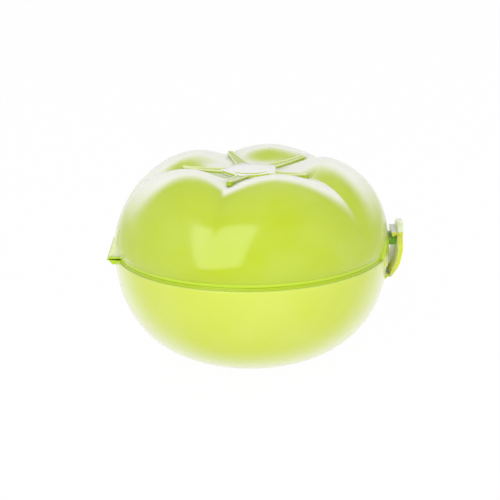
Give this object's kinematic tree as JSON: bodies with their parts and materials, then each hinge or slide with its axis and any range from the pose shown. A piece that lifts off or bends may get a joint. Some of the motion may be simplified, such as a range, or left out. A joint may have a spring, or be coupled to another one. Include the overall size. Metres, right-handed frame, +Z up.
{
  "type": "fruit keeper",
  "caption": "Round hinged keeper for one fruit: a smooth bowl, a lobed tomato-like lid with a calyx star, a folding web hinge and a snap latch clip.",
  "frame": {"origin": "centre of the flat foot, on the surface that the keeper stands on", "axes": "+Z up; +X from the lid hinge towards the latch, along the longest side; +Y completes the right hand"},
  "size_m": [0.1218, 0.1132, 0.0826],
  "materials": {
    "bowl_plastic": "gloss, slightly translucent polypropylene",
    "lid_plastic": "gloss, slightly translucent polypropylene",
    "latch_plastic": "gloss, slightly translucent polypropylene",
    "web_plastic": "gloss, thin polypropylene fold",
    "calyx_plastic": "gloss, slightly translucent polypropylene"
  },
  "bodies": {
    "bowl": {"bowl_shell": "bowl_plastic", "lid_hinge_web": "web_plastic", "latch_hinge_web": "web_plastic"},
    "lid": {"lid_shell": "lid_plastic", "calyx_star": "calyx_plastic"},
    "latch": {"latch_clip": "latch_plastic"}
  },
  "joints": [
    {"name": "lid_hinge", "type": "hinge", "parent": "bowl", "child": "lid", "pos_m": [-0.0585, 0, 0.0453], "axis": [0, -1, 0], "range_deg": [0, 180]},
    {"name": "latch_hinge", "type": "hinge", "parent": "bowl", "child": "latch", "pos_m": [0.0569, 0, 0.0349], "axis": [0, 1, 0], "range_deg": [0, 130]}
  ]
}
